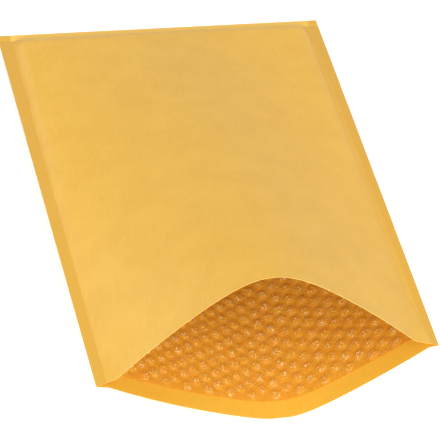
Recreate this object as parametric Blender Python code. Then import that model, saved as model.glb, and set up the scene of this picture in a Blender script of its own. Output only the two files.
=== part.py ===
"""A bubble-lined kraft mailer, lying on its back with its mouth pushed open.

Metres, +Z up. The closed end points along +Y and the mouth along -Y. The middle
of the back wall and the closed end lie on Z = 0. The origin is the middle of the
footprint, at floor level.
"""
import math

import bmesh
import bpy
import numpy as np

# The envelope laid flat
ENVELOPE_WIDTH = 0.318
ENVELOPE_LENGTH = 0.457
SEAM_WIDTH = 0.012
MOUTH_SEAM_WIDTH = 0.0085
END_BAND = 0.008
PAPER = 0.0004

# The mouth pushed open: the angle at which each lip leaves the side creases
FRONT_SLOPE = math.radians(41.93)
BACK_SLOPE = math.radians(37.77)
# How far either side of its ridge each lip bends, and the ridge's place across
FRONT_RIDGE_WIDTH = 0.0277
BACK_RIDGE_WIDTH = 0.0208
FRONT_RIDGE_X = 0.0002
BACK_RIDGE_X = 0.0291
# The share of each lip's turn that is spread over the panel, not kept at its ridge
FRONT_ROUND_SHARE = 0.325
BACK_ROUND_SHARE = 0.345
# How far each lip's ridge draws back from the line between the mouth's corners
FRONT_RECESS = 0.0205
BACK_RECESS = 0.0051
# Left and right, the width beside the seam's edge in which each lip leaves gently,
# and the share of the full angle that it has there
FRONT_EASE_WIDTHS = (0.0167, 0.0206)
FRONT_EASE_SHARES = (0.364, 0.407)
BACK_EASE_WIDTHS = (0.0106, 0.0077)
BACK_EASE_SHARES = (0.534, 0.001)
# The seams hold up to this share of the way to the mouth, then their plies part
SEAM_HOLDS = 0.88
# Width over which a panel bends out of the plane of the seams
CREASE_BEND = 0.003
# The mouth's turn about the length, against the closed end
MOUTH_ROLL = math.radians(1.88)
# Height of the back lip's ridge that the floor presses flat
FLOOR_PRESS = 0.0007
# The front panel rises towards the mouth as this power of the distance
FRONT_FULLNESS = 0.85

# The bubble film
BUBBLE_PITCH = 0.012
LINING_THICKNESS = 0.004
FILM_THICKNESS = 0.0005
UNLINED_LIP = 0.016
SIDE_SEAL = 0.006
END_SEAL = 0.008
LINING_GAP = 0.0005
POCKET_GAP = 0.0006
# Distance from a crease in which the padding reaches its full thickness
SIDE_RAMP = 0.014
END_RAMP = 0.016

# Where the paper's pocket starts, inside the creases, and inside the edge at the mouth
PAPER_POCKET_SIDE = 0.0025
PAPER_POCKET_END = 0.002
PAPER_POCKET_RIM = 0.0015

# The sampling of the surfaces
SECTION_SAMPLES = 801
LONG_SHARES = (0.12, 0.20, 0.30, 0.41, 0.52, 0.64, 0.76, SEAM_HOLDS, (3 * SEAM_HOLDS + 2) / 5)

# What follows from the sizes above
EDGE = ENVELOPE_WIDTH / 2
PANEL_HALF = EDGE - SEAM_WIDTH
WALL_LENGTH = ENVELOPE_LENGTH - END_BAND
COLUMN_STEP = BUBBLE_PITCH * math.sqrt(3) / 2
ROW_STEP = BUBBLE_PITCH / 2
SEAM_THICKNESS = 2 * PAPER
LINING_OUTSIDE = PAPER + LINING_GAP
PADDING = 2 * (LINING_GAP + LINING_THICKNESS) + POCKET_GAP
BUBBLE_EDGE = (SIDE_SEAL + SIDE_RAMP) / 2 + POCKET_GAP
BUBBLE_SPACES = max(2, round(2 * (PANEL_HALF - BUBBLE_EDGE) / COLUMN_STEP))
BUBBLE_COLUMNS = np.linspace(BUBBLE_EDGE - PANEL_HALF, PANEL_HALF - BUBBLE_EDGE, BUBBLE_SPACES + 1)
LINED = 1 - UNLINED_LIP / WALL_LENGTH
SEALED = END_SEAL / WALL_LENGTH
POCKET_FLOOR = END_RAMP / WALL_LENGTH
# Stations along the panels, as shares of the way from the closed end to the mouth
END_STATIONS = [SEALED / 2, SEALED, (SEALED + POCKET_FLOOR) / 2, POCKET_FLOOR, 2 * POCKET_FLOOR]
STATIONS = [*END_STATIONS, *LONG_SHARES, LINED]

# Places across the envelope laid flat, and where each comes along the mouth's lips
ACROSS = np.linspace(-EDGE, EDGE, SECTION_SAMPLES)
ALONG_LIP = np.interp(
    ACROSS,
    [-EDGE, -PANEL_HALF, PANEL_HALF, EDGE],
    [-EDGE, MOUTH_SEAM_WIDTH - EDGE, EDGE - MOUTH_SEAM_WIDTH, EDGE],
)
FROM_CREASE = np.maximum(PANEL_HALF - np.abs(ACROSS), 0)


def smooth(share):
    """From 0 at 0 to 1 at 1, level at both ends."""
    share = np.clip(share, 0, 1)
    return share * share * (3 - 2 * share)


def running_sum(values):
    """The integral of values along the lip, by the trapezoid rule."""
    pieces = (values[1:] + values[:-1]) / 2 * np.diff(ALONG_LIP)
    return np.concatenate(([0.0], np.cumsum(pieces)))


def lip_section(slope, ridge_width, ridge_x, round_share, ease_widths, ease_shares):
    """Across and height of a lip bent from the envelope's width without stretching it."""
    left = ALONG_LIP < 0
    width = np.where(left, *ease_widths)
    share = np.where(left, *ease_shares)
    ease = share + (1 - share) * smooth((EDGE - np.abs(ALONG_LIP) - width) / CREASE_BEND + 0.5)
    turn = (1 - round_share) * np.tanh((ALONG_LIP - ridge_x) / ridge_width)
    turn = turn + round_share * (ALONG_LIP - ridge_x) / EDGE
    angle = -slope * turn * ease
    across = running_sum(np.cos(angle))
    height = running_sum(np.sin(angle))
    height = height - height[-1] * (ALONG_LIP + EDGE) / (2 * EDGE)
    return across - across[-1] / 2, height


def lip(bend, ease_widths, ease_shares):
    """A lip's section at the mouth, and one as wide and high whose seams still hold.

    bend is the slope, the ridge's width and place, and the round share.
    """
    opened = lip_section(*bend, ease_widths, ease_shares)
    held = lip_section(*bend, (MOUTH_SEAM_WIDTH, MOUTH_SEAM_WIDTH), (0, 0))
    held = (
        held[0] * opened[0][-1] / held[0][-1],
        held[1] * opened[1].max() / held[1].max(),
    )
    return opened, held


FRONT_BEND = (FRONT_SLOPE, FRONT_RIDGE_WIDTH, FRONT_RIDGE_X, FRONT_ROUND_SHARE)
BACK_BEND = (BACK_SLOPE, BACK_RIDGE_WIDTH, BACK_RIDGE_X, BACK_ROUND_SHARE)
FRONT_LIP, FRONT_HELD = lip(FRONT_BEND, FRONT_EASE_WIDTHS, FRONT_EASE_SHARES)
BACK_LIP, BACK_HELD = lip(BACK_BEND, BACK_EASE_WIDTHS, BACK_EASE_SHARES)
HALF_CHORD = (FRONT_LIP[0][-1] + BACK_LIP[0][-1]) / 2
BACK_ACROSS = BACK_LIP[0] * HALF_CHORD / BACK_LIP[0][-1]
BACK_DEPTH = BACK_LIP[1] * math.cos(MOUTH_ROLL) - BACK_ACROSS * math.sin(MOUTH_ROLL)
BACK_BOW = BACK_DEPTH.max() - FLOOR_PRESS
TILT = math.atan2(BACK_BOW, WALL_LENGTH - BACK_RECESS)
# The back lip's ridge is the point furthest from the closed end
REACH = math.hypot(BACK_BOW, WALL_LENGTH - BACK_RECESS)
HINGE_Y = (REACH - END_BAND) / 2


def ramp(distance, length):
    """From 0 at a crease to 1 at the padding's full thickness."""
    share = np.clip(distance / length, 0, 1)
    return 1 - (1 - share) ** 2


def gape(share):
    """From 0 where the seams still hold to 1 at the mouth."""
    return smooth((share - SEAM_HOLDS) / (1 - SEAM_HOLDS))


def section(opened, held, share):
    """Across and height that the mouth's lip would have with the seams as they are at
    a share of the way to the mouth."""
    parted = gape(share)
    across = opened[0] * parted + held[0] * (1 - parted)
    height = opened[1] * parted + held[1] * (1 - parted)
    return across * HALF_CHORD / across[-1], height


def outside(share):
    """The two panels' outer faces at a share of the way from the closed end to the
    mouth: (across, distance, height) for the front and for the back, dense arrays."""
    padding = PADDING * (1 - share) * ramp(FROM_CREASE, SIDE_RAMP)
    padding = padding * ramp(share * WALL_LENGTH, END_RAMP)
    across, height = section(FRONT_LIP, FRONT_HELD, share)
    front = (
        ACROSS + (across - ACROSS) * share,
        share * (WALL_LENGTH - FRONT_RECESS * height / height.max()),
        SEAM_THICKNESS + np.hypot(height * share ** FRONT_FULLNESS, padding),
    )
    across, depth = section(BACK_LIP, BACK_HELD, share)
    across = ACROSS + (across - ACROSS) * share
    lean = MOUTH_ROLL * share
    to_floor = (BACK_BOW * share + across * math.sin(lean)) / math.cos(lean)
    drawn = np.minimum(depth / (depth.max() - FLOOR_PRESS), 1)
    back = (
        across,
        share * (WALL_LENGTH - BACK_RECESS * drawn),
        -np.minimum(depth * share, to_floor),
    )
    return front, back


def place(across, distance, height, share):
    """From a station's own plane to the part's frame: the mouth rolls a little about
    the length, and the seams rise towards it."""
    lean = MOUTH_ROLL * share
    x = across * math.cos(lean) - height * math.sin(lean)
    height = height * math.cos(lean) + across * math.sin(lean)
    forward = distance * math.cos(TILT) - height * math.sin(TILT)
    up = distance * math.sin(TILT) + height * math.cos(TILT)
    return np.stack([x, HINGE_Y - forward, up], axis=1)


def ring(share, columns, inset):
    """Points of both walls at one station, inset from the paper's outer face.

    inset is one depth, or a pair of depths for each column, front and back. Where
    the walls come close, the inset stops short of the middle between them.
    """
    front, back = outside(share)
    room = (front[2] - back[2] - POCKET_GAP) / 2
    rows = []
    for wall, sign, depth in ((front, 1, inset[0]), (back, -1, inset[1])):
        run = np.gradient(wall[0], ACROSS)
        rise = np.gradient(wall[2], ACROSS)
        size = np.hypot(run, rise)
        along_x = -sign * rise / size
        along_z = sign * run / size
        at = [np.interp(columns, ACROSS, values) for values in wall]
        most = np.interp(columns, ACROSS, room * run / size)
        depth = np.minimum(depth, most)
        x = at[0] - depth * np.interp(columns, ACROSS, along_x)
        z = at[2] - depth * np.interp(columns, ACROSS, along_z)
        rows.append(place(x, at[1], z, share))
    return rows


def rim_columns(share):
    """Places from the paper pocket's side inwards: beside the crease where the seams
    hold, and from the parted plies' edge at the mouth."""
    opened = EDGE - np.array([
        PAPER_POCKET_RIM,
        (PAPER_POCKET_RIM + SEAM_WIDTH) / 2,
        SEAM_WIDTH,
        SEAM_WIDTH + PAPER_POCKET_SIDE,
    ])
    held = PANEL_HALF - np.linspace(PAPER_POCKET_SIDE, SIDE_SEAL, len(opened) + 1)[:-1]
    parted = gape(share)
    return np.append(opened * parted + held * (1 - parted), PANEL_HALF - SIDE_SEAL)


def shell_columns(share, middle):
    """The places across for one ring of the paper's inside."""
    rim = rim_columns(share)
    return np.concatenate([-rim, middle, rim[::-1]])


def flat_ring(columns):
    """The closed end's cut edge: two plies flat on the floor."""
    y = np.full(len(columns), HINGE_Y + END_BAND)
    return [np.stack([columns, y, np.full(len(columns), z)], axis=1) for z in (SEAM_THICKNESS, 0)]


def mirrored(count):
    """Cuts a ring's cells one way on its left half and the other way on its right."""
    return lambda i: i < (count - 1) / 2


def bridge(bm, a, b, flip):
    """Faces between two rings; flip tells which way to cut each cell."""
    for row_a, row_b in zip(a, b):
        for i in range(len(row_a) - 1):
            corners = [row_a[i], row_a[i + 1], row_b[i + 1], row_b[i]]
            if flip(i):
                bm.faces.new([corners[0], corners[1], corners[2]])
                bm.faces.new([corners[0], corners[2], corners[3]])
            else:
                bm.faces.new([corners[1], corners[2], corners[3]])
                bm.faces.new([corners[1], corners[3], corners[0]])
    for end in (0, -1):
        bm.faces.new([a[0][end], b[0][end], b[1][end], a[1][end]])


def close_end(bm, rows):
    """Faces between the front and back rows of a ring, from side to side."""
    front, back = rows
    for i in range(len(front) - 1):
        bm.faces.new([front[i], front[i + 1], back[i + 1], back[i]])


def close_mouth(bm, outer, inner):
    """The cut edge between the outer and the inner ring at the mouth.

    The outer rows start further out, so the sides between are closed solid.
    """
    spare = (len(outer[0]) - len(inner[0])) // 2
    count = len(inner[0])
    for row_out, row_in in zip(outer, inner):
        for i in range(count - 1):
            o = i + spare
            bm.faces.new([row_out[o], row_out[o + 1], row_in[i + 1], row_in[i]])
    for side in (1, -1):
        front, back = (row[::side] for row in outer)
        near, far = (row[::side] for row in inner)
        for i in range(spare - 1):
            bm.faces.new([front[i], front[i + 1], back[i + 1], back[i]])
        last = spare - 1
        bm.faces.new([front[last], front[spare], near[0]])
        bm.faces.new([front[last], near[0], far[0], back[last]])
        bm.faces.new([back[last], far[0], back[spare]])


def pocket(name, outer, inner, material, flips=None):
    """One closed body from its outer rings, closed end to mouth, and its inner rings
    back from the mouth."""
    bm = bmesh.new()
    made = []
    for rows in outer + inner:
        made.append([[bm.verts.new(point) for point in row] for row in rows])
    outside_rings = made[:len(outer)]
    inside_rings = made[len(outer):]
    close_end(bm, outside_rings[0])
    for a, b in zip(outside_rings, outside_rings[1:]):
        bridge(bm, a, b, mirrored(len(a[0])))
    close_mouth(bm, outside_rings[-1], inside_rings[0])
    for j, (a, b) in enumerate(zip(inside_rings, inside_rings[1:])):
        bridge(bm, a, b, flips(j) if flips else mirrored(len(b[0])))
    close_end(bm, inside_rings[-1])
    bmesh.ops.recalc_face_normals(bm, faces=bm.faces)
    mesh = bpy.data.meshes.new(name)
    bm.to_mesh(mesh)
    bm.free()
    mesh.materials.append(material)
    obj = bpy.data.objects.new(name, mesh)
    bpy.data.collections["padded_envelope"].objects.link(obj)
    return obj


def principled(name, colour, roughness):
    """A plain Principled material."""
    material = bpy.data.materials.new(name)
    material.use_nodes = True
    shader = material.node_tree.nodes["Principled BSDF"]
    shader.inputs["Base Color"].default_value = (*colour, 1)
    shader.inputs["Roughness"].default_value = roughness
    material.diffuse_color = (*colour, 1)
    return material


def kraft_shell():
    """The paper: one web, folded at the closed end and glued along both sides."""
    halves = (BUBBLE_COLUMNS[1:] + BUBBLE_COLUMNS[:-1]) / 2
    middle = np.sort(np.concatenate([BUBBLE_COLUMNS, halves]))
    columns = np.concatenate([[-EDGE], shell_columns(1.0, middle), [EDGE]])
    pocket_end = PAPER_POCKET_END / WALL_LENGTH
    outer = [flat_ring(columns)]
    for share in [0.0, pocket_end, *STATIONS, 1.0]:
        outer.append(ring(share, columns, (0, 0)))
    inner = []
    for share in [1.0, *STATIONS[::-1], pocket_end]:
        inner.append(ring(share, shell_columns(share, middle), (PAPER, PAPER)))
    material = principled("kraft_paper", (0.85, 0.49, 0.09), 0.62)
    return pocket("kraft_shell", outer, inner, material)


def bubble_lining():
    """The film: one web with its bubbles inwards, folded and sealed like the paper."""
    seal = PANEL_HALF - SIDE_SEAL
    columns = np.concatenate([[-seal], BUBBLE_COLUMNS, [seal]])
    outer = []
    for share in STATIONS[STATIONS.index(SEALED):]:
        outer.append(ring(share, columns, (LINING_OUTSIDE, LINING_OUTSIDE)))
    rows = round((LINED - POCKET_FLOOR) * WALL_LENGTH / ROW_STEP)
    valley = LINING_OUTSIDE + FILM_THICKNESS
    peak = LINING_OUTSIDE + LINING_THICKNESS
    inner = []
    for j in range(rows + 1):
        depth = np.full(len(BUBBLE_COLUMNS), valley)
        if 0 < j < rows:
            raised = (np.arange(1, len(depth) - 1) + j) % 2 == 0
            depth[1:-1] = np.where(raised, peak, valley)
        share = LINED + (POCKET_FLOOR - LINED) * j / rows
        inner.append(ring(share, BUBBLE_COLUMNS, (depth, depth)))
    material = principled("bubble_film", (0.70, 0.27, 0.04), 0.3)
    return pocket("bubble_lining", outer, inner, material, lambda j: lambda i: (i + j) % 2 == 1)


def main():
    for obj in list(bpy.data.objects):
        bpy.data.objects.remove(obj, do_unlink=True)
    collection = bpy.data.collections.new("padded_envelope")
    bpy.context.scene.collection.children.link(collection)
    kraft_shell()
    bubble_lining()


main()
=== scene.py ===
"""The looks of the bubble-lined kraft mailer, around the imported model."""
import math

import bmesh
import bpy
import numpy as np
from mathutils import Matrix, Vector

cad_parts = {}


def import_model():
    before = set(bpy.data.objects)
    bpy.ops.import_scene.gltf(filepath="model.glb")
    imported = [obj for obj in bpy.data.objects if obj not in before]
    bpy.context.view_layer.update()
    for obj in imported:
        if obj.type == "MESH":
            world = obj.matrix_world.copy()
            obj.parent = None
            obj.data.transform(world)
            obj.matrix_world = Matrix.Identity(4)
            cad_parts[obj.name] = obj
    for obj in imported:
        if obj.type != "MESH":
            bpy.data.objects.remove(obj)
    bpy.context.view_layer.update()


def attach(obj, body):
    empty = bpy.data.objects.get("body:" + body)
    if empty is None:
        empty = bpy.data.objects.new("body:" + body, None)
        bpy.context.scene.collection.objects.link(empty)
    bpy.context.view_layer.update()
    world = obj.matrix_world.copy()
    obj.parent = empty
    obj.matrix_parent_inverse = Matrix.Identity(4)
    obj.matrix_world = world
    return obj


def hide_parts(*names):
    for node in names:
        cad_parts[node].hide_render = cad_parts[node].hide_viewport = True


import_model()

# The envelope laid flat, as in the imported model
ENVELOPE_WIDTH = 0.318
ENVELOPE_LENGTH = 0.457
SEAM_WIDTH = 0.012
MOUTH_SEAM_WIDTH = 0.0085
END_BAND = 0.008
PAPER = 0.0004

# The mouth pushed open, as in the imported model
FRONT_SLOPE = math.radians(41.93)
BACK_SLOPE = math.radians(37.77)
FRONT_RIDGE_WIDTH = 0.0277
BACK_RIDGE_WIDTH = 0.0208
FRONT_RIDGE_X = 0.0002
BACK_RIDGE_X = 0.0291
FRONT_ROUND_SHARE = 0.325
BACK_ROUND_SHARE = 0.345
FRONT_RECESS = 0.0205
BACK_RECESS = 0.0051
FRONT_EASE_WIDTHS = (0.0167, 0.0206)
FRONT_EASE_SHARES = (0.364, 0.407)
BACK_EASE_WIDTHS = (0.0106, 0.0077)
BACK_EASE_SHARES = (0.534, 0.001)
SEAM_HOLDS = 0.88
CREASE_BEND = 0.003
MOUTH_ROLL = math.radians(1.88)
FLOOR_PRESS = 0.0007
FRONT_FULLNESS = 0.85

# The bubble film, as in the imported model
BUBBLE_PITCH = 0.012
LINING_THICKNESS = 0.004
FILM_THICKNESS = 0.0005
UNLINED_LIP = 0.016
SIDE_SEAL = 0.006
LINING_GAP = 0.0005
POCKET_GAP = 0.0006
SIDE_RAMP = 0.014
END_RAMP = 0.016
PAPER_POCKET_SIDE = 0.0025
PAPER_POCKET_END = 0.002
PAPER_POCKET_RIM = 0.0015

# Fine relief of the paper, which only the looks have
SEAM_GROOVE_DEPTH = 0.00018
SEAM_GROOVE_WIDTH = 0.0011
BUBBLE_PRINT_DEPTH = 0.00003
SEAM_WAVE_DEPTH = 0.00022
SEAM_WAVE_LENGTHS = (0.11, 0.067, 0.041)
SEAM_WAVE_FADE = 0.03
# How far inside the film's edge the print has its full depth, as a share of the length
BUBBLE_PRINT_FADE = 0.01
# Within what distance, on the left and on the right, a seam's painted shade comes in
SEAM_SHADE_FADES = (0.0006, 0.0045)
SEED = 7

# Columns of the paper's mesh, as distances from the pressed line between a panel and
# its seam, into the panel and into the seam
RIM_COLUMNS = (
    0.0006, 0.0012, 0.0019, PAPER_POCKET_SIDE, 0.0032,
    0.004, 0.005, SIDE_SEAL, 0.0075, 0.0095,
)
PANEL_COLUMNS = 117
PANEL_COLUMNS_FROM = 0.0122
SEAM_COLUMNS = (
    0.0006, 0.0013, 0.0025, 0.0045, 0.0065, 0.0085,
    SEAM_WIDTH - PAPER_POCKET_RIM, SEAM_WIDTH,
)
# Stations of its outside: shares of the end band, then distances from the band
# towards the mouth
BAND_STATIONS = (1, 0.9, 0.5, 0.15, 0.05)
END_STATIONS = (
    0.0, 0.0006, 0.0013, PAPER_POCKET_END, 0.0032,
    0.0048, 0.0068, 0.0092, 0.012, 0.0155,
)
PANEL_STATIONS = 150
PANEL_STATIONS_FROM = 0.019
# Stations of its inside, from the mouth: shares of the length on the bare lip, where
# the seams part and where they hold, then distances from the closed end. A gap is
# the step from one stretch to the next
LIP_STATIONS = 5
PARTED_STATIONS = 12
PARTED_STATIONS_GAP = 0.001
HELD_STATIONS = 20
HELD_STATIONS_GAP = 0.02
HELD_STATIONS_END = 0.06
POCKET_END_STATIONS = (0.016, 0.008, 0.004, PAPER_POCKET_END)
# How far to each side of a point its outer face's normal is read
NORMAL_STEP = 0.0004
# How close two places have to be to count as one
TOLERANCE = 1e-6
PAPER_SHARP_ANGLE = math.radians(40)
FILM_SHARP_ANGLE = math.radians(80)

# The corners and edge middles of a bubble's cell, in sixths of a column's step across
# and halves of a row's step along
CELL = (
    (4, 0), (3, 1), (2, 2), (0, 2), (-2, 2), (-3, 1),
    (-4, 0), (-3, -1), (-2, -2), (0, -2), (2, -2), (3, -1),
)
CELL_SIDES = len(CELL)
CELL_ACROSS = 6
CELL_ALONG = 2
# The rings of a bubble: radius and height as shares of the largest
DOME = ((1.0, 0.02), (0.90, 0.26), (0.74, 0.58), (0.53, 0.83), (0.28, 0.97))
BUBBLE_RADIUS = 0.0051
# How far a bubble's top leans, the least and most of the room that it fills, how far
# its top is dented, and how uneven its rings are
BUBBLE_LEAN = 0.00035
BUBBLE_FULL = (0.34, 0.52)
BUBBLE_DENT = (0.8, 0.98)
BUBBLE_LOBES = 3
BUBBLE_UNEVEN = 0.05
BUBBLE_ROUGH = 0.00007
# The share of bubbles that have lost air, and what is left of their height
SLACK_BUBBLES = 0.16
SLACK_FULL = (0.55, 0.85)
SLACK_DENT = (0.45, 0.8)
# The mark of the flat sheet behind the bubbles, which are marked by their height
BACKING = -1.0

# The paper's materials, in the order of their slots
OUTSIDE_SLOT, INSIDE_SLOT, CUT_SLOT = range(3)
# Their tones, plain, pale for the fibres and dark for clouds and grain, and gloss
OUTSIDE_PAPER = ((0.86, 0.492, 0.067), (0.90, 0.56, 0.105), (0.82, 0.457, 0.056), 0.35)
# The inside paper brighter and more saturated than the outside: painted bounce light inside the
# pocket
INSIDE_PAPER_PAINTED_BOUNCE = ((0.92, 0.525, 0.054), (0.94, 0.58, 0.082), (0.90, 0.49, 0.046), 0.3)
CUT_PAPER = ((0.90, 0.56, 0.14), (0.94, 0.64, 0.20), (0.85, 0.51, 0.11), 0.3)
# The end band painted paler: partly its own scuffed, heat-sealed tone, partly a painted sheen
BAND_SCUFF_AND_SHEEN_TONE = (0.96, 0.60, 0.125)
# Seams darker than the panel: painted shade, for their tilt away from the light
SEAM_PAINTED_SHADE_TONE = (0.75, 0.41, 0.048)
LINED_TONE = (0.97, 0.46, 0.028)
# How much of its tone the band (partly painted sheen), a seam (painted shade) and the paper under
# the film take
BAND_SCUFF_AND_SHEEN_SHARE = 0.9
SEAM_SHADE_SHARE = 0.9
LINED_SHARE = 0.95
PAPER_CLOUD = {"scale": 38, "detail": 4}
PAPER_GRAIN = {"scale": 900, "detail": 3, "roughness": 0.6, "stretch": (1.0, 0.35, 1.0)}
PAPER_FIBRE = {"scale": 420, "detail": 4, "roughness": 0.7, "stretch": (1.0, 0.12, 1.0)}
# Two values of a noise or a mark, and what a setting is at each, changing between
CLOUD_RANGE = (0.35, 0.65, 0, 1)
FIBRE_RANGE = (0.5, 0.78, 0, 0.55)
GRAIN_RANGE = (0.58, 0.8, 0, 0.35)
PAPER_ROUGHNESS = (0.3, 0.7, 0.34, 0.5)
# A bump's height in metres and its strength
GRAIN_BUMP = (0.0001, 0.25)
CLOUD_BUMP = (0.0006, 0.18)

# The film's tones, ranges and bumps, given as the paper's are
SHEET_TONE = (0.98, 0.53, 0.031)
# Bubble tops lighter than the sheet between them: painted light on the domes, painted shade between
# them
BUBBLE_TOP_PAINTED_LIGHT_TONE = (0.99, 0.61, 0.044)
HAZE_TONE = (0.93, 0.44, 0.023)
WRINKLE_TONE = (0.84, 0.33, 0.016)
# The colour of the painted glints
PAINTED_GLINT_TONE = (1.0, 0.88, 0.52)
FILM_HAZE = {"scale": 70, "detail": 3}
FILM_WRINKLE = {"scale": 620, "detail": 4, "roughness": 0.65}
FILM_CREASE = {"scale": 260, "detail": 5, "roughness": 0.7}
FILM_SPECK = {"scale": 800, "detail": 2, "roughness": 0.5}
BUBBLE_RANGE = (0.1, 0.95, 0, 1)
HAZE_RANGE = (0.42, 0.62, 0, 0.8)
WRINKLE_RANGE = (0.40, 0.56, 0.6, 0)
GLINT_RANGE = (0.57, 0.62, 0, 1)
GLINT_BY_HEIGHT = (0.2, 0.9, 0.4, 1)
SHEET_OPACITY = (BACKING, 0, 0.04, 0.3)
BUBBLE_OPACITY = (0.1, 0.9, 0, 0.1)
PAINTED_GLINT_OPACITY = (0, 1, 0, 0.95)
FILM_ROUGHNESS = (0, 1, 0.24, 0.1)
CREASE_BUMP = (0.0012, 0.5)
WRINKLE_BUMP = (0.0005, 0.5)
FILM_GLOSS = 0.5

# The camera: a turn as an axis times its angle, and a shift in envelope widths, both
# from the plane of the seams at the mouth, for a view down its third axis
LENS_MM = 134.70
SENSOR_MM = 36.0
CAMERA_TURN = (2.2867327, -0.2022585, 0.2188541)
CAMERA_SHIFT = (0.1256338, 0.3582929, 4.0407330)
CAMERA_REACH = 20

# The lamps: name, place, size and power
LAMPS = (
    ("key", (-0.7, -2.3, 1.25), 1.2, 44),
    ("sheen", (-1.6, 1.5, 0.75), 0.9, 5),
    ("fill", (1.0, -1.2, 1.9), 1.6, 20),
)
LAMP_TARGET = (0, 0, 0.05)
WHITE = (1, 1, 1, 1)
AMBIENT = 0.61
FLOOR_TONE = (0.86, 0.86, 0.86, 1)
FLOOR_ROUGHNESS = 0.9
FLOOR_GLOW = 0.45
FLOOR_HALF = 6.0
FLOOR_DROP = 0.0006

EDGE = ENVELOPE_WIDTH / 2
PANEL_HALF = EDGE - SEAM_WIDTH
WALL_LENGTH = ENVELOPE_LENGTH - END_BAND
COLUMN_STEP = BUBBLE_PITCH * math.sqrt(3) / 2
ROW_STEP = BUBBLE_PITCH / 2
SEAM_THICKNESS = 2 * PAPER
LINING_OUTSIDE = PAPER + LINING_GAP
FILM_FACE = LINING_OUTSIDE + FILM_THICKNESS
BUBBLE_ROOM = LINING_THICKNESS - FILM_THICKNESS
PADDING = 2 * (LINING_GAP + LINING_THICKNESS) + POCKET_GAP
BUBBLE_EDGE = (SIDE_SEAL + SIDE_RAMP) / 2 + POCKET_GAP
LINED = 1 - UNLINED_LIP / WALL_LENGTH
POCKET_FLOOR = END_RAMP / WALL_LENGTH

SECTION_SAMPLES = 1601
ACROSS = np.linspace(-EDGE, EDGE, SECTION_SAMPLES)
ALONG_LIP = np.interp(
    ACROSS,
    [-EDGE, -PANEL_HALF, PANEL_HALF, EDGE],
    [-EDGE, MOUTH_SEAM_WIDTH - EDGE, EDGE - MOUTH_SEAM_WIDTH, EDGE],
)
FRONT, BACK = 1, -1


def running_sum(values):
    """The integral of values along the lip, by the trapezoid rule."""
    pieces = (values[1:] + values[:-1]) / 2 * np.diff(ALONG_LIP)
    return np.concatenate(([0.0], np.cumsum(pieces)))


def smooth(low, high, value):
    """From 0 at low to 1 at high, level at both ends."""
    share = np.clip((value - low) / (high - low), 0, 1)
    return share * share * (3 - 2 * share)


def lip_section(slope, ridge_width, ridge_x, round_share, ease_widths, ease_shares):
    """Across and height of a lip bent from the envelope's width without stretching it."""
    left = ALONG_LIP < 0
    width = np.where(left, *ease_widths)
    share = np.where(left, *ease_shares)
    inward = EDGE - np.abs(ALONG_LIP) - width
    ease = share + (1 - share) * smooth(-CREASE_BEND / 2, CREASE_BEND / 2, inward)
    turn = (1 - round_share) * np.tanh((ALONG_LIP - ridge_x) / ridge_width)
    turn = turn + round_share * (ALONG_LIP - ridge_x) / EDGE
    angle = -slope * turn * ease
    across = running_sum(np.cos(angle))
    height = running_sum(np.sin(angle))
    height = height - height[-1] * (ALONG_LIP + EDGE) / (2 * EDGE)
    return across - across[-1] / 2, height


def lip(bend, ease_widths, ease_shares):
    """A lip's section at the mouth, and one as wide and high whose seams still hold."""
    opened = lip_section(*bend, ease_widths, ease_shares)
    held = lip_section(*bend, (MOUTH_SEAM_WIDTH, MOUTH_SEAM_WIDTH), (0, 0))
    held = (
        held[0] * opened[0][-1] / held[0][-1],
        held[1] * opened[1].max() / held[1].max(),
    )
    return opened, held


FRONT_BEND = (FRONT_SLOPE, FRONT_RIDGE_WIDTH, FRONT_RIDGE_X, FRONT_ROUND_SHARE)
BACK_BEND = (BACK_SLOPE, BACK_RIDGE_WIDTH, BACK_RIDGE_X, BACK_ROUND_SHARE)
LIPS = {
    FRONT: lip(FRONT_BEND, FRONT_EASE_WIDTHS, FRONT_EASE_SHARES),
    BACK: lip(BACK_BEND, BACK_EASE_WIDTHS, BACK_EASE_SHARES),
}
CHORDS = {side: LIPS[side][0][0][-1] for side in LIPS}
HALF_CHORD = (CHORDS[FRONT] + CHORDS[BACK]) / 2
BACK_ACROSS = LIPS[BACK][0][0] * HALF_CHORD / CHORDS[BACK]
BACK_DEPTH = LIPS[BACK][0][1] * math.cos(MOUTH_ROLL) - BACK_ACROSS * math.sin(MOUTH_ROLL)
BACK_BOW = BACK_DEPTH.max() - FLOOR_PRESS
TILT = math.atan2(BACK_BOW, WALL_LENGTH - BACK_RECESS)
REACH = math.hypot(BACK_BOW, WALL_LENGTH - BACK_RECESS)
HINGE_Y = (REACH - END_BAND) / 2


def ramp(distance, length):
    """From 0 at a crease to 1 at the padding's full thickness."""
    share = np.clip(distance / length, 0, 1)
    return 1 - (1 - share) ** 2


def panel(side, u, share):
    """Across, distance and height of a panel's outer face, from the plane of the seams."""
    shown = np.clip(share, 0, 1)
    parted = smooth(SEAM_HOLDS, 1, shown)
    opened, held = LIPS[side]
    lip_x = np.interp(u, ACROSS, opened[0]) * parted + np.interp(u, ACROSS, held[0]) * (1 - parted)
    lip_z = np.interp(u, ACROSS, opened[1]) * parted + np.interp(u, ACROSS, held[1]) * (1 - parted)
    across = u + (lip_x * HALF_CHORD / CHORDS[side] - u) * shown
    most = opened[1].max()
    if side == FRONT:
        padding = PADDING * (1 - shown) * ramp(np.maximum(PANEL_HALF - np.abs(u), 0), SIDE_RAMP)
        padding = padding * ramp(shown * WALL_LENGTH, END_RAMP)
        height = SEAM_THICKNESS + np.hypot(lip_z * shown ** FRONT_FULLNESS, padding)
        return across, shown * (WALL_LENGTH - FRONT_RECESS * lip_z / most), height
    lean = MOUTH_ROLL * shown
    to_floor = (BACK_BOW * shown + across * np.sin(lean)) / np.cos(lean)
    drawn = np.minimum(lip_z / (most - FLOOR_PRESS), 1)
    return across, shown * (WALL_LENGTH - BACK_RECESS * drawn), -np.minimum(lip_z * shown, to_floor)


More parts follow.
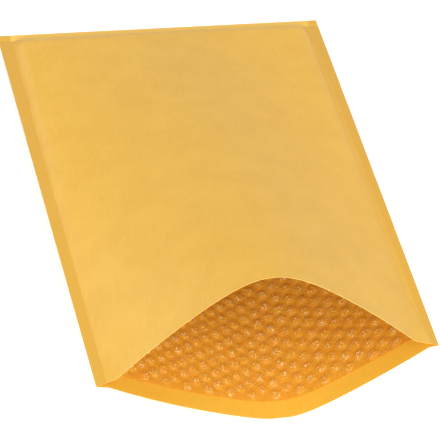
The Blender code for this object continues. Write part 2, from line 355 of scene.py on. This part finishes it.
def outer_face(side, u, share, lift=0.0):
    """Points of a panel's outer face. u runs across the laid-out panel and its seams,
    share runs from the closed end to the mouth, and is under 0 on the end band."""
    across, distance, height = panel(side, u, share)
    height = height + side * lift
    lean = MOUTH_ROLL * np.clip(share, 0, 1)
    x = across * np.cos(lean) - height * np.sin(lean)
    height = height * np.cos(lean) + across * np.sin(lean)
    y = HINGE_Y - distance * math.cos(TILT) + height * math.sin(TILT)
    z = distance * math.sin(TILT) + height * math.cos(TILT)
    flat = share < 0
    y = np.where(flat, HINGE_Y - share * WALL_LENGTH, y)
    z = np.where(flat, height, z)
    return np.stack(np.broadcast_arrays(x, y, z), axis=-1)


def inset(side, u, share, depth):
    """Points at a depth under a panel's outer face, along its normal. Where the panels
    come close, the depth stops short of the middle between them."""
    step = NORMAL_STEP
    here = outer_face(side, u, share)
    along_u = outer_face(side, u + step, share) - outer_face(side, u - step, share)
    step_share = step / WALL_LENGTH
    fore = np.maximum(share - step_share, 0)
    along_v = outer_face(side, u, fore + 2 * step_share) - outer_face(side, u, fore)
    normal = np.cross(along_v, along_u) * side
    normal /= np.linalg.norm(normal, axis=-1, keepdims=True)
    room = (panel(FRONT, u, share)[2] - panel(BACK, u, share)[2] - POCKET_GAP) / 2
    depth = np.minimum(depth, room * np.abs(normal[..., 2]))
    return here - normal * np.asarray(depth)[..., None]


def bubble_print(u, share):
    """The lining's bubbles, faintly raised in the paper over them: 1 on a bubble."""
    v = (LINED - share) * WALL_LENGTH
    i = (u + PANEL_HALF - BUBBLE_EDGE) / COLUMN_STEP
    wave = np.cos(math.pi * i) * np.cos(math.pi * v / ROW_STEP)
    inside = smooth(0, SIDE_RAMP, PANEL_HALF - np.abs(u)) * smooth(0, END_RAMP, share * WALL_LENGTH)
    return wave * inside * smooth(1.0, LINED - BUBBLE_PRINT_FADE, share)


def paper_relief(side, u, share):
    """Outward lift of the paper: the pressed line beside the seams, the seams' slight
    waves and the faint print of the bubbles."""
    rng = np.random.default_rng(SEED)
    distance = share * WALL_LENGTH
    edge = np.abs(u) - PANEL_HALF
    lift = BUBBLE_PRINT_DEPTH * bubble_print(u, share)
    if side == FRONT:
        lift = lift - SEAM_GROOVE_DEPTH * np.exp(-((edge / SEAM_GROOVE_WIDTH) ** 2))
        lift = lift - SEAM_GROOVE_DEPTH * np.exp(-((distance / SEAM_GROOVE_WIDTH) ** 2))
    waves = 0
    for length in SEAM_WAVE_LENGTHS:
        phase = rng.uniform(0, 2 * math.pi)
        wave = np.sin(2 * math.pi * distance / length + phase + np.sign(u))
        waves = waves + wave / len(SEAM_WAVE_LENGTHS)
    out = np.clip(edge / SEAM_WIDTH, 0, 1)
    lift = lift + side * SEAM_WAVE_DEPTH * waves * out * smooth(0, SEAM_WAVE_FADE, distance)
    return lift


def grid_faces(rings, width):
    """Quads between closed rings that follow each other in the point list."""
    faces = []
    for r in range(rings - 1):
        for i in range(width):
            j = (i + 1) % width
            a, b = r * width, (r + 1) * width
            faces.append((a + i, a + j, b + j, b + i))
    return faces


def add_object(name, data):
    """An object in the scene."""
    obj = bpy.data.objects.new(name, data)
    bpy.context.scene.collection.objects.link(obj)
    return obj


def mesh_object(name, points, faces, materials, sharp_angle, slots=None):
    """A mesh object in the scene, shaded smooth up to an angle."""
    mesh = bpy.data.meshes.new(name)
    mesh.from_pydata([tuple(p) for p in points], [], faces)
    for material in materials:
        mesh.materials.append(material)
    if slots is not None:
        mesh.polygons.foreach_set("material_index", slots)
    mesh.shade_smooth()
    mesh.set_sharp_from_angle(angle=sharp_angle)
    mesh.update()
    return add_object(name, mesh)


def add_attribute(obj, name, values):
    """A number at each point, for a material to read."""
    obj.data.attributes.new(name, "FLOAT", "POINT").data.foreach_set("value", values)


def fix_normals(obj):
    """Turns the faces of a closed mesh outwards."""
    bm = bmesh.new()
    bm.from_mesh(obj.data)
    bmesh.ops.recalc_face_normals(bm, faces=bm.faces)
    bm.to_mesh(obj.data)
    bm.free()


def paper_columns():
    """Places across the outer face, seams included, closer beside the creases."""
    rim = np.array(RIM_COLUMNS)
    seam = np.array(SEAM_COLUMNS)
    last = PANEL_HALF - PANEL_COLUMNS_FROM
    return np.concatenate([
        -PANEL_HALF - seam[::-1],
        [-PANEL_HALF],
        rim - PANEL_HALF,
        np.linspace(-last, last, PANEL_COLUMNS),
        (PANEL_HALF - rim)[::-1],
        [PANEL_HALF],
        PANEL_HALF + seam,
    ])


def paper_stations():
    """Shares of the length at which the paper's outside has its rings."""
    band = -END_BAND / WALL_LENGTH
    return np.concatenate([
        [band * share for share in BAND_STATIONS],
        np.array(END_STATIONS) / WALL_LENGTH,
        np.linspace(PANEL_STATIONS_FROM / WALL_LENGTH, 1, PANEL_STATIONS),
    ])


def pocket_columns(columns, share):
    """Places across the paper's inside: out to the parted plies' edge at the mouth, and
    beside the crease where the seams hold."""
    inner = columns[np.abs(columns) <= EDGE - PAPER_POCKET_RIM + TOLERANCE]
    seal = PANEL_HALF - SIDE_SEAL
    squeeze = (SIDE_SEAL - PAPER_POCKET_SIDE) / (EDGE - PAPER_POCKET_RIM - seal)
    over = np.maximum(np.abs(inner) - seal, 0)
    parted = smooth(SEAM_HOLDS, 1, share)
    return inner - np.sign(inner) * over * (1 - squeeze) * (1 - parted)


def pocket_stations():
    """Shares of the length at which the paper's inside has its rings, from the mouth."""
    return np.concatenate([
        np.linspace(1, LINED, LIP_STATIONS),
        np.linspace(LINED - PARTED_STATIONS_GAP, SEAM_HOLDS, PARTED_STATIONS),
        np.linspace(SEAM_HOLDS - HELD_STATIONS_GAP, HELD_STATIONS_END, HELD_STATIONS),
        np.array(POCKET_END_STATIONS) / WALL_LENGTH,
    ])


def skin_points(columns, stations, inner_stations):
    """The rings of the paper's outside, then those of its inside. A ring runs along the
    front panel and back along the other."""
    rings = []
    for share in stations:
        front = outer_face(FRONT, columns, share, paper_relief(FRONT, columns, share))
        back = outer_face(BACK, columns, share)
        rings += [front, back[::-1]]
    for share in inner_stations:
        places = pocket_columns(columns, share)
        front = inset(FRONT, places, share, PAPER)
        back = inset(BACK, places, share, PAPER)
        rings += [front, back[::-1]]
    return np.concatenate(rings)


def ring_point(start, width, i, back, mirror):
    """The index of place i across a ring's front or back, from one side or the other."""
    i = width - 1 - i if mirror else i
    return start + (2 * width - 1 - i if back else i)


def mouth_edge(outer_start, wide, inner_start, narrow):
    """Faces of the mouth's cut edge, between the outside's last ring and the inside's
    first. Beyond the inside, the plies' rims are closed on each side."""
    spare = (wide - narrow) // 2
    faces = []
    for i in range(narrow - 1):
        front = outer_start + i + spare
        inner = inner_start + i
        faces.append((front, front + 1, inner + 1, inner))
        back = outer_start + 2 * wide - 1 - i - spare
        inner = inner_start + 2 * narrow - 1 - i
        faces.append((back - 1, back, inner, inner - 1))
    last = spare - 1
    for mirror in (False, True):
        front = [ring_point(outer_start, wide, i, False, mirror) for i in range(spare + 1)]
        back = [ring_point(outer_start, wide, i, True, mirror) for i in range(spare + 1)]
        inner_front = ring_point(inner_start, narrow, 0, False, mirror)
        inner_back = ring_point(inner_start, narrow, 0, True, mirror)
        rim = [(front[i], front[i + 1], back[i + 1], back[i]) for i in range(last)]
        rim.append((front[last], front[spare], inner_front))
        rim.append((front[last], inner_front, inner_back, back[last]))
        rim.append((back[last], inner_back, back[spare]))
        faces += [face[::-1] for face in rim] if mirror else rim
    return faces


def mark_paper(obj, columns, stations, inner_stations, narrow):
    """Marks the end band, painted paler, the seams, painted darker, and the paper under the film."""
    points = len(obj.data.vertices)
    ring = 2 * len(columns)
    outside = len(stations) * ring
    band = np.zeros(points, dtype=np.float32)
    band[:int(np.sum(stations < 0)) * ring] = 1
    add_attribute(obj, "band", band)
    around = np.concatenate([columns, columns[::-1]])
    beyond = np.abs(around) - PANEL_HALF
    # The seams' painted shade, coming in fast on the left and slowly on the right
    seam_shade_share = np.clip(beyond / np.where(around < 0, *SEAM_SHADE_FADES), 0, 1)
    seam = np.zeros(points, dtype=np.float32)
    seam[:outside] = np.tile(seam_shade_share, len(stations))
    add_attribute(obj, "seam", seam)
    lined = np.zeros(points, dtype=np.float32)
    lined[outside:] = np.repeat(inner_stations < LINED - TOLERANCE, 2 * narrow)
    add_attribute(obj, "lined", lined)


def kraft_paper(outside, inside, cut):
    """The paper web as one closed skin: outside, cut edges, and inside."""
    columns = paper_columns()
    stations = paper_stations()
    inner_stations = pocket_stations()
    wide = len(columns)
    narrow = len(pocket_columns(columns, 1))
    faces = grid_faces(len(stations), 2 * wide)
    # The closed end's cut edge
    for i in range(wide - 1):
        faces.append((i, 2 * wide - 1 - i, 2 * wide - 2 - i, i + 1))
    outside_faces = len(faces)
    last_ring = (len(stations) - 1) * 2 * wide
    first_inner = len(stations) * 2 * wide
    faces += mouth_edge(last_ring, wide, first_inner, narrow)
    cut_faces = len(faces) - outside_faces
    for face in grid_faces(len(inner_stations), 2 * narrow):
        faces.append(tuple(first_inner + k for k in face))
    # The pocket's closed end
    last_inner = first_inner + (len(inner_stations) - 1) * 2 * narrow
    for i in range(narrow - 1):
        far = last_inner + 2 * narrow - 1 - i
        faces.append((last_inner + i, last_inner + i + 1, far - 1, far))
    inside_faces = len(faces) - outside_faces - cut_faces
    slots = [OUTSIDE_SLOT] * outside_faces + [CUT_SLOT] * cut_faces
    slots += [INSIDE_SLOT] * inside_faces
    points = skin_points(columns, stations, inner_stations)
    materials = [outside, inside, cut]
    obj = mesh_object("kraft_paper", points, faces, materials, PAPER_SHARP_ANGLE, slots)
    mark_paper(obj, columns, stations, inner_stations, narrow)
    fix_normals(obj)
    return obj


class FilmSheet:
    """The points and faces of one wall of bubble film. A point's place is across the
    panel and along it from the film's edge, its depth is under the paper's outer face."""

    def __init__(self, rng):
        width = 2 * (PANEL_HALF - BUBBLE_EDGE)
        length = (LINED - POCKET_FLOOR) * WALL_LENGTH
        self.rng = rng
        self.spaces = max(2, round(width / COLUMN_STEP))
        self.rows = round(length / ROW_STEP)
        self.column = width / self.spaces
        self.row = length / self.rows
        self.places = []
        self.depths = []
        self.marks = []
        self.faces = []
        self.shared = {}
        for i in range(self.spaces + 1):
            for j in range(self.rows + 1):
                if (i + j) % 2 == 0:
                    self.cell(i, j)
        self.close_edges()

    def add(self, u, v, depth, mark):
        """Adds a point and gives its index."""
        self.places.append((u, v))
        self.depths.append(depth)
        self.marks.append(mark)
        return len(self.places) - 1

    def corner(self, cu, cv, layer):
        """A point that cells share, on the backing, layer 0, or on the pocket's side."""
        key = (cu, cv, layer)
        if key not in self.shared:
            u = BUBBLE_EDGE - PANEL_HALF + cu * self.column / CELL_ACROSS
            # The film's first and last columns reach out to the side seals
            if cu == 0:
                u = SIDE_SEAL - PANEL_HALF
            elif cu == CELL_ACROSS * self.spaces:
                u = PANEL_HALF - SIDE_SEAL
            depth = FILM_FACE if layer else LINING_OUTSIDE
            mark = 0.0 if layer else BACKING
            self.shared[key] = self.add(u, cv * self.row / CELL_ALONG, depth, mark)
        return self.shared[key]

    def cell(self, i, j):
        """One cell of the film: its backing, and a bubble, or flat film at the edges."""
        centre_u, centre_v = CELL_ACROSS * i, CELL_ALONG * j
        most_u, most_v = CELL_ACROSS * self.spaces, CELL_ALONG * self.rows
        corners = [(centre_u + du, centre_v + dv) for du, dv in CELL]
        inside = [0 <= cu <= most_u and 0 <= cv <= most_v for cu, cv in corners]
        whole = all(inside) and 0 < i < self.spaces and 0 < j < self.rows
        backing = self.corner(centre_u, centre_v, 0)
        for k in range(CELL_SIDES):
            n = (k + 1) % CELL_SIDES
            if not (inside[k] and inside[n]):
                continue
            self.faces.append((backing, self.corner(*corners[n], 0), self.corner(*corners[k], 0)))
            if not whole:
                centre = self.corner(centre_u, centre_v, 1)
                self.faces.append((centre, self.corner(*corners[k], 1), self.corner(*corners[n], 1)))
        if whole:
            self.bubble(i, j, corners)

    def bubble(self, i, j, corners):
        """A round bubble, crushed a little, and more where it has lost air."""
        rng = self.rng
        u0 = BUBBLE_EDGE - PANEL_HALF + i * self.column
        v0 = j * self.row
        lean_u, lean_v = rng.normal(0, BUBBLE_LEAN, 2)
        full = rng.uniform(*BUBBLE_FULL)
        slack = rng.random() < SLACK_BUBBLES
        if slack:
            full *= rng.uniform(*SLACK_FULL)
        before = [self.corner(cu, cv, 1) for cu, cv in corners]
        turn = rng.uniform(0, 2 * math.pi)
        for radius, height in DOME:
            ring = []
            for k in range(CELL_SIDES):
                angle = 2 * math.pi * k / CELL_SIDES
                r = BUBBLE_RADIUS * radius
                lobe = BUBBLE_UNEVEN * math.sin(BUBBLE_LOBES * angle + turn)
                uneven = 1 + lobe * (1 - radius) * BUBBLE_LOBES
                rise = BUBBLE_ROOM * full * height * uneven + rng.normal(0, BUBBLE_ROUGH)
                u = u0 + r * math.cos(angle) + lean_u * height
                v = v0 + r * math.sin(angle) + lean_v * height
                depth = FILM_FACE + min(max(rise, 0), BUBBLE_ROOM)
                ring.append(self.add(u, v, depth, height))
            for k in range(CELL_SIDES):
                n = (k + 1) % CELL_SIDES
                self.faces.append((before[k], before[n], ring[n], ring[k]))
            before = ring
        dent = rng.uniform(*(SLACK_DENT if slack else BUBBLE_DENT))
        top = self.add(u0 + lean_u, v0 + lean_v, FILM_FACE + BUBBLE_ROOM * full * dent, 1.0)
        for k in range(CELL_SIDES):
            self.faces.append((before[k], before[(k + 1) % CELL_SIDES], top))

    def close_edges(self):
        """The film's cut edges: a wall under every edge of the bubble side that has only
        one face."""
        sides = {}
        for face in self.faces:
            for k in range(len(face)):
                sides[(face[k], face[(k + 1) % len(face)])] = True
        key_of = {index: key for key, index in self.shared.items()}
        for a, b in sides:
            if (b, a) in sides or a not in key_of or b not in key_of:
                continue
            au, av, a_layer = key_of[a]
            bu, bv, b_layer = key_of[b]
            if a_layer == 1 and b_layer == 1:
                self.faces.append((b, a, self.shared[(au, av, 0)], self.shared[(bu, bv, 0)]))


def bubble_film(name, side, material):
    """One wall of the lining: a sheet of film with its bubbles towards the pocket."""
    sheet = FilmSheet(np.random.default_rng(SEED + side))
    places = np.array(sheet.places)
    share = LINED - places[:, 1] / WALL_LENGTH
    points = inset(side, places[:, 0], share, np.array(sheet.depths))
    obj = mesh_object(name, points, sheet.faces, [material], FILM_SHARP_ANGLE)
    add_attribute(obj, "bubble", np.array(sheet.marks, dtype=np.float32))
    fix_normals(obj)
    return obj


class Nodes:
    """Short calls for a material's node tree."""

    def __init__(self, name):
        self.material = bpy.data.materials.new(name)
        self.material.use_nodes = True
        self.tree = self.material.node_tree
        self.shader = self.tree.nodes["Principled BSDF"]
        self.place = self.add("ShaderNodeTexCoord").outputs["Object"]

    def add(self, kind, **values):
        """Adds a node with its settings."""
        node = self.tree.nodes.new(kind)
        for key, value in values.items():
            setattr(node, key, value)
        return node

    def link(self, a, b):
        """Links an output socket to an input socket."""
        self.tree.links.new(a, b)

    def attribute(self, name):
        """A number that add_attribute put on the mesh."""
        return self.add("ShaderNodeAttribute", attribute_name=name).outputs["Fac"]

    def noise(self, scale, detail=3.0, roughness=0.55, stretch=(1, 1, 1)):
        """Noise whose features are about 1/scale metres across."""
        mapping = self.add("ShaderNodeMapping")
        mapping.inputs["Scale"].default_value = stretch
        self.link(self.place, mapping.inputs["Vector"])
        node = self.add("ShaderNodeTexNoise")
        node.inputs["Scale"].default_value = scale
        node.inputs["Detail"].default_value = detail
        node.inputs["Roughness"].default_value = roughness
        self.link(mapping.outputs["Vector"], node.inputs["Vector"])
        return node.outputs["Fac"]

    def range(self, value, low, high, to_low, to_high):
        """A value's range low to high, mapped to another and held at its ends."""
        node = self.add("ShaderNodeMapRange")
        limits = {"From Min": low, "From Max": high, "To Min": to_low, "To Max": to_high}
        for key, number in limits.items():
            node.inputs[key].default_value = number
        self.link(value, node.inputs["Value"])
        return node.outputs["Result"]

    def math(self, operation, a, b):
        """A sum, product or the like of two sockets."""
        node = self.add("ShaderNodeMath", operation=operation)
        self.link(a, node.inputs[0])
        self.link(b, node.inputs[1])
        return node.outputs[0]

    def mix(self, factor, a, b):
        """Mixes two colours or colour sockets."""
        node = self.add("ShaderNodeMix", data_type="RGBA")
        self.link(factor, node.inputs["Factor"])
        for socket, colour in ((node.inputs["A"], a), (node.inputs["B"], b)):
            self.colour(socket, colour)
        return node.outputs["Result"]

    def colour(self, socket, colour):
        """Gives a socket a colour, or links it to the socket that holds one."""
        if isinstance(colour, tuple):
            socket.default_value = (*colour, 1)
        else:
            self.link(colour, socket)

    def bump(self, height, distance, strength, under=None):
        """A normal bent by a height, on top of another normal."""
        node = self.add("ShaderNodeBump")
        node.inputs["Distance"].default_value = distance
        node.inputs["Strength"].default_value = strength
        self.link(height, node.inputs["Height"])
        if under is not None:
            self.link(under, node.inputs["Normal"])
        return node.outputs["Normal"]

    def finish(self, colour, roughness, normal, gloss):
        """Links the shader and gives the material."""
        self.link(colour, self.shader.inputs["Base Color"])
        self.link(roughness, self.shader.inputs["Roughness"])
        self.link(normal, self.shader.inputs["Normal"])
        self.shader.inputs["Specular IOR Level"].default_value = gloss
        return self.material


def kraft(name, plain, pale, dark, gloss):
    """Kraft paper: cloudy pulp and fine fibres. The pressed end band is painted paler, partly its
    own scuffed tone and partly a painted sheen, the seams are darker by painted shade, and the paper
    under the film has a tone of its own."""
    nodes = Nodes(name)
    band = nodes.attribute("band")
    seam = nodes.attribute("seam")
    lined = nodes.attribute("lined")
    cloud = nodes.noise(**PAPER_CLOUD)
    grain = nodes.noise(**PAPER_GRAIN)
    fibre = nodes.noise(**PAPER_FIBRE)
    colour = nodes.mix(nodes.range(cloud, *CLOUD_RANGE), dark, plain)
    colour = nodes.mix(nodes.range(fibre, *FIBRE_RANGE), colour, pale)
    colour = nodes.mix(nodes.range(grain, *GRAIN_RANGE), colour, dark)
    # The end band painted paler, partly a painted sheen
    colour = nodes.mix(nodes.range(band, 0, 1, 0, BAND_SCUFF_AND_SHEEN_SHARE), colour, BAND_SCUFF_AND_SHEEN_TONE)
    # Painted shade on the seams
    colour = nodes.mix(nodes.range(seam, 0, 1, 0, SEAM_SHADE_SHARE), colour, SEAM_PAINTED_SHADE_TONE)
    colour = nodes.mix(nodes.range(lined, 0, 1, 0, LINED_SHARE), colour, LINED_TONE)
    roughness = nodes.range(grain, *PAPER_ROUGHNESS)
    normal = nodes.bump(grain, *GRAIN_BUMP)
    normal = nodes.bump(cloud, *CLOUD_BUMP, normal)
    return nodes.finish(colour, roughness, normal, gloss)


def film(name):
    """Clear bubble film that shows the paper behind it: glossy, hazy in places and wrinkled all
    over, with bubble tops painted lighter and glints painted on in spots, mostly on the bubbles."""
    nodes = Nodes(name)
    mark = nodes.attribute("bubble")
    haze = nodes.noise(**FILM_HAZE)
    wrinkle = nodes.noise(**FILM_WRINKLE)
    crease = nodes.noise(**FILM_CREASE)
    speck = nodes.noise(**FILM_SPECK)
    # Painted light and shade by height: bubble tops lighter than the sheet between them
    colour = nodes.mix(nodes.range(mark, *BUBBLE_RANGE), SHEET_TONE, BUBBLE_TOP_PAINTED_LIGHT_TONE)
    colour = nodes.mix(nodes.range(haze, *HAZE_RANGE), colour, HAZE_TONE)
    colour = nodes.mix(nodes.range(wrinkle, *WRINKLE_RANGE), colour, WRINKLE_TONE)
    # Glints painted into the colour in spots, mostly on the bubbles, where the film is also glossier
    # and more opaque
    glint = nodes.range(speck, *GLINT_RANGE)
    painted_glint = nodes.math("MULTIPLY", glint, nodes.range(mark, *GLINT_BY_HEIGHT))
    colour = nodes.mix(painted_glint, colour, PAINTED_GLINT_TONE)
    sheet = nodes.range(mark, *SHEET_OPACITY)
    bubble = nodes.range(mark, *BUBBLE_OPACITY)
    opacity = nodes.math("ADD", sheet, bubble)
    opacity = nodes.math("MAXIMUM", opacity, nodes.range(painted_glint, *PAINTED_GLINT_OPACITY))
    nodes.link(opacity, nodes.shader.inputs["Alpha"])
    roughness = nodes.range(painted_glint, *FILM_ROUGHNESS)
    normal = nodes.bump(crease, *CREASE_BUMP)
    normal = nodes.bump(wrinkle, *WRINKLE_BUMP, normal)
    return nodes.finish(colour, roughness, normal, FILM_GLOSS)


def camera():
    """The photograph's view, placed from the plane of the seams at the mouth."""
    turn = Vector(CAMERA_TURN)
    look = Matrix.Rotation(turn.length, 3, turn.normalized())
    shift = Vector(CAMERA_SHIFT) * ENVELOPE_WIDTH
    place = -(look.transposed() @ shift)
    axes = look.transposed() @ Matrix.Diagonal((1, -1, -1))
    tilt = Matrix.Rotation(-TILT, 3, "X")
    hinge = Vector((0, WALL_LENGTH, 0))
    data = bpy.data.cameras.new("camera")
    data.lens = LENS_MM
    data.sensor_width = SENSOR_MM
    data.sensor_fit = "HORIZONTAL"
    data.clip_end = CAMERA_REACH
    obj = add_object("camera", data)
    stand = Matrix.Translation(Vector((0, HINGE_Y, 0)) + tilt @ (place - hinge))
    obj.matrix_world = stand @ (tilt @ axes).to_4x4()
    bpy.context.scene.camera = obj


def area_light(name, place, size, power):
    """A square lamp that shines on the envelope."""
    data = bpy.data.lights.new(name, "AREA")
    data.shape = "SQUARE"
    data.size = size
    data.energy = power
    obj = add_object(name, data)
    obj.location = place
    way = Vector(LAMP_TARGET) - Vector(place)
    obj.rotation_euler = way.to_track_quat("-Z", "Y").to_euler()


def floor():
    """A white floor that keeps a soft shadow."""
    mesh = bpy.data.meshes.new("floor")
    half = FLOOR_HALF
    corners = [(-half, -half, 0), (half, -half, 0), (half, half, 0), (-half, half, 0)]
    mesh.from_pydata(corners, [], [(0, 1, 2, 3)])
    obj = add_object("floor", mesh)
    obj.location.z = -FLOOR_DROP
    material = bpy.data.materials.new("white_floor")
    material.use_nodes = True
    nodes = material.node_tree.nodes
    links = material.node_tree.links
    shader = nodes["Principled BSDF"]
    shader.inputs["Base Color"].default_value = FLOOR_TONE
    shader.inputs["Roughness"].default_value = FLOOR_ROUGHNESS
    shader.inputs["Specular IOR Level"].default_value = 0.0
    shader.inputs["Emission Color"].default_value = WHITE
    path = nodes.new("ShaderNodeLightPath")
    glow = nodes.new("ShaderNodeMath")
    glow.operation = "MULTIPLY"
    glow.inputs[1].default_value = FLOOR_GLOW
    links.new(path.outputs["Is Camera Ray"], glow.inputs[0])
    links.new(glow.outputs[0], shader.inputs["Emission Strength"])
    mesh.materials.append(material)


def world():
    """Even light from all sides, which the camera and reflections see as white."""
    data = bpy.data.worlds.new("studio")
    bpy.context.scene.world = data
    data.use_nodes = True
    nodes = data.node_tree.nodes
    links = data.node_tree.links
    ambient = nodes["Background"]
    ambient.inputs["Color"].default_value = WHITE
    ambient.inputs["Strength"].default_value = AMBIENT
    shown = nodes.new("ShaderNodeBackground")
    shown.inputs["Color"].default_value = WHITE
    path = nodes.new("ShaderNodeLightPath")
    seen = nodes.new("ShaderNodeMath")
    seen.operation = "MAXIMUM"
    mix = nodes.new("ShaderNodeMixShader")
    links.new(path.outputs["Is Camera Ray"], seen.inputs[0])
    links.new(path.outputs["Is Glossy Ray"], seen.inputs[1])
    links.new(seen.outputs[0], mix.inputs["Fac"])
    links.new(ambient.outputs[0], mix.inputs[1])
    links.new(shown.outputs[0], mix.inputs[2])
    links.new(mix.outputs[0], nodes["World Output"].inputs["Surface"])


bpy.context.scene.view_settings.view_transform = "Standard"
camera()
world()
floor()
for lamp in LAMPS:
    area_light(*lamp)

outside_paper = kraft("kraft_outside", *OUTSIDE_PAPER)
inside_paper = kraft("kraft_inside_painted_bounce", *INSIDE_PAPER_PAINTED_BOUNCE)
cut_paper = kraft("kraft_cut_edge", *CUT_PAPER)
amber = film("bubble_film")

paper = kraft_paper(outside_paper, inside_paper, cut_paper)
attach(paper, "root")
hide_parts("kraft_shell")

for name, side in (("bubble_film_front", FRONT), ("bubble_film_back", BACK)):
    piece = bubble_film(name, side, amber)
    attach(piece, "root")
    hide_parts("bubble_lining")
